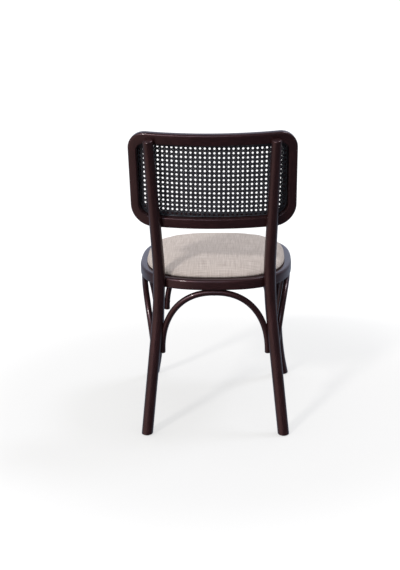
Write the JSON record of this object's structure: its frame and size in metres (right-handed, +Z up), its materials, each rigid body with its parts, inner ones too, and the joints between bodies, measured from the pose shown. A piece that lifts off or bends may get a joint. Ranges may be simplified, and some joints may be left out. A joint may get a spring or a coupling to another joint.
{
  "type": "dining chair",
  "caption": "Armless bentwood dining chair: curved back frame filled with open cane webbing, rounded upholstered seat, splayed round legs and arched braces under the seat ring.",
  "frame": {"origin": "on the floor, at the centre of the chair's bounding box", "axes": "+Z up, the sitter faces -Y, +X is the sitter's left"},
  "size_m": [0.4478, 0.5107, 0.8626],
  "materials": {
    "wood": "satin dark walnut lacquer",
    "cane": "dark stained cane, low sheen",
    "linen": "matt beige woven linen",
    "plywood": "bare plywood",
    "foam": "open-cell foam",
    "dust_cloth": "matt black non-woven cloth",
    "steel": "zinc plated",
    "glides": "dark nylon"
  },
  "bodies": {
    "root": {"back_frame": "wood", "back_plug_lower_left": "wood", "back_plug_lower_right": "wood", "back_plug_upper_left": "wood", "back_plug_upper_right": "wood", "back_screw_lower_left": "steel", "back_screw_lower_right": "steel", "back_screw_upper_left": "steel", "back_screw_upper_right": "steel", "cane_reed": "cane", "cane_webbing": "cane", "front_arch": "wood", "front_arch_screw_1": "steel", "front_arch_screw_2": "steel", "front_arch_screw_3": "steel", "front_leg_left": "wood", "front_leg_right": "wood", "glide_front_left": "glides", "glide_front_right": "glides", "glide_rear_left": "glides", "glide_rear_right": "glides", "leg_bolt_left": "steel", "leg_bolt_right": "steel", "leg_nut_left": "steel", "leg_nut_right": "steel", "leg_plug_left": "wood", "leg_plug_right": "wood", "leg_washer_left": "steel", "leg_washer_right": "steel", "rear_arch": "wood", "rear_arch_screw_1": "steel", "rear_arch_screw_2": "steel", "rear_arch_screw_3": "steel", "rear_leg_left": "wood", "rear_leg_right": "wood", "seat_board": "plywood", "seat_cover": "linen", "seat_dust_cloth": "dust_cloth", "seat_foam": "foam", "seat_ring": "wood", "seat_screw_1": "steel", "seat_screw_2": "steel", "seat_screw_3": "steel", "seat_screw_4": "steel", "side_arch_left": "wood", "side_arch_left_screw_1": "steel", "side_arch_left_screw_2": "steel", "side_arch_left_screw_3": "steel", "side_arch_right": "wood", "side_arch_right_screw_1": "steel", "side_arch_right_screw_2": "steel", "side_arch_right_screw_3": "steel"}
  },
  "joints": []
}
